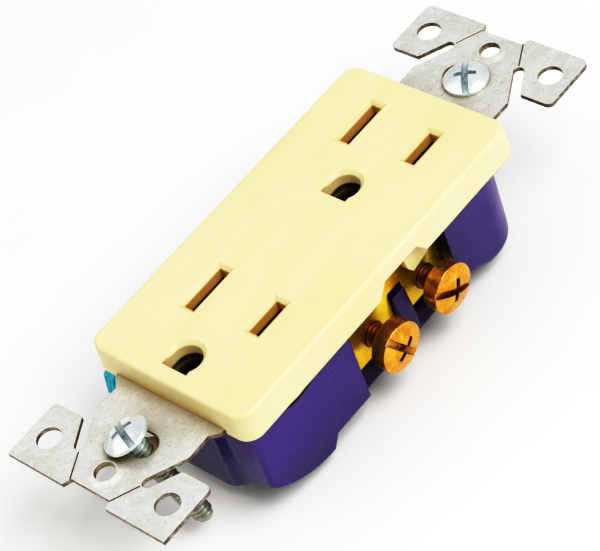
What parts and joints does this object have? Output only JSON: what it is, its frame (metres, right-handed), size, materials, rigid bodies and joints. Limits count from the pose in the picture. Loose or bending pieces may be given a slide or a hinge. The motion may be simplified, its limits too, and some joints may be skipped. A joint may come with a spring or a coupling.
{
  "type": "duplex wall outlet",
  "caption": "Wall outlet with a rectangular face, paired grounded plug openings, a metal mounting strap with snap-off ears, captive mounting screws and side wire terminals.",
  "frame": {"origin": "centre of the mounting strap in plan, on the plane of its rear face, which is the wall plane that the ears bear on", "axes": "+Z out of the wall through the face, +X towards the hot side with the brass-coloured terminal screws, +Y along the strap towards the outlet whose ground opening is nearer the middle"},
  "size_m": [0.0392, 0.1068, 0.025],
  "materials": {
    "galvanised_steel": "spangled zinc coat",
    "ivory_thermoplastic": "moulded, low gloss",
    "violet_thermoplastic": "moulded, semi-gloss",
    "brass": "bright stamped strip",
    "tarnished_brass": "dull stamped strip",
    "nickel_plated_brass": "plated, satin",
    "spring_steel": "bare spring strip",
    "brass_plated_steel": "plated, bright",
    "zinc_plated_steel": "clear zinc, bright",
    "green_dyed_steel": "green dye over zinc",
    "vulcanised_fibre": "pressed fibre"
  },
  "bodies": {
    "receptacle": {"mounting_strap": "galvanised_steel", "face_cover": "ivory_thermoplastic", "back_body": "violet_thermoplastic", "hot_terminal_strip": "brass", "neutral_terminal_strip": "nickel_plated_brass", "ground_contact_upper": "tarnished_brass", "ground_contact_lower": "tarnished_brass", "ground_contact_rivets": "brass", "push_in_spring_hot_upper": "spring_steel", "push_in_spring_hot_lower": "spring_steel", "push_in_spring_neutral_upper": "spring_steel", "push_in_spring_neutral_lower": "spring_steel", "assembly_screws": "zinc_plated_steel"},
    "hot_terminal_screw_upper_body": {"hot_terminal_screw_upper": "brass_plated_steel"},
    "hot_terminal_screw_lower_body": {"hot_terminal_screw_lower": "brass_plated_steel"},
    "neutral_terminal_screw_upper_body": {"neutral_terminal_screw_upper": "zinc_plated_steel"},
    "neutral_terminal_screw_lower_body": {"neutral_terminal_screw_lower": "zinc_plated_steel"},
    "ground_screw_body": {"ground_screw": "green_dyed_steel"},
    "mounting_screw_upper_body": {"mounting_screw_upper": "zinc_plated_steel"},
    "mounting_screw_lower_body": {"mounting_screw_lower": "zinc_plated_steel"},
    "screw_retainer_upper_body": {"screw_retainer_upper": "vulcanised_fibre"},
    "screw_retainer_lower_body": {"screw_retainer_lower": "vulcanised_fibre"}
  },
  "joints": [
    {"name": "hot_upper_screw_tighten", "type": "slide", "parent": "receptacle", "child": "hot_terminal_screw_upper_body", "axis": [-1, 0, 0], "range_m": [0, 0.0033]},
    {"name": "hot_lower_screw_tighten", "type": "slide", "parent": "receptacle", "child": "hot_terminal_screw_lower_body", "axis": [-1, 0, 0], "range_m": [0, 0.0033]},
    {"name": "neutral_upper_screw_tighten", "type": "slide", "parent": "receptacle", "child": "neutral_terminal_screw_upper_body", "axis": [1, 0, 0], "range_m": [0, 0.0033]},
    {"name": "neutral_lower_screw_tighten", "type": "slide", "parent": "receptacle", "child": "neutral_terminal_screw_lower_body", "axis": [1, 0, 0], "range_m": [0, 0.0033]},
    {"name": "ground_screw_tighten", "type": "slide", "parent": "receptacle", "child": "ground_screw_body", "axis": [1, 0, 0], "range_m": [0, 0.0014]},
    {"name": "upper_retainer_along_slot", "type": "slide", "parent": "receptacle", "child": "screw_retainer_upper_body", "axis": [1, 0, 0], "range_m": [-0.0028, 0.0018]},
    {"name": "upper_mounting_screw_out", "type": "slide", "parent": "screw_retainer_upper_body", "child": "mounting_screw_upper_body", "axis": [0, 0, 1], "range_m": [0, 0.015]},
    {"name": "lower_retainer_tilt", "type": "hinge", "parent": "receptacle", "child": "screw_retainer_lower_body", "pos_m": [0.0003, -0.0421, 0.0004], "axis": [-0.342, 0.9397, 0], "range_deg": [0, 42]},
    {"name": "lower_mounting_screw_out", "type": "slide", "parent": "screw_retainer_lower_body", "child": "mounting_screw_lower_body", "axis": [-0.3368, -0.1226, 0.9336], "range_m": [0, 0.012]}
  ]
}
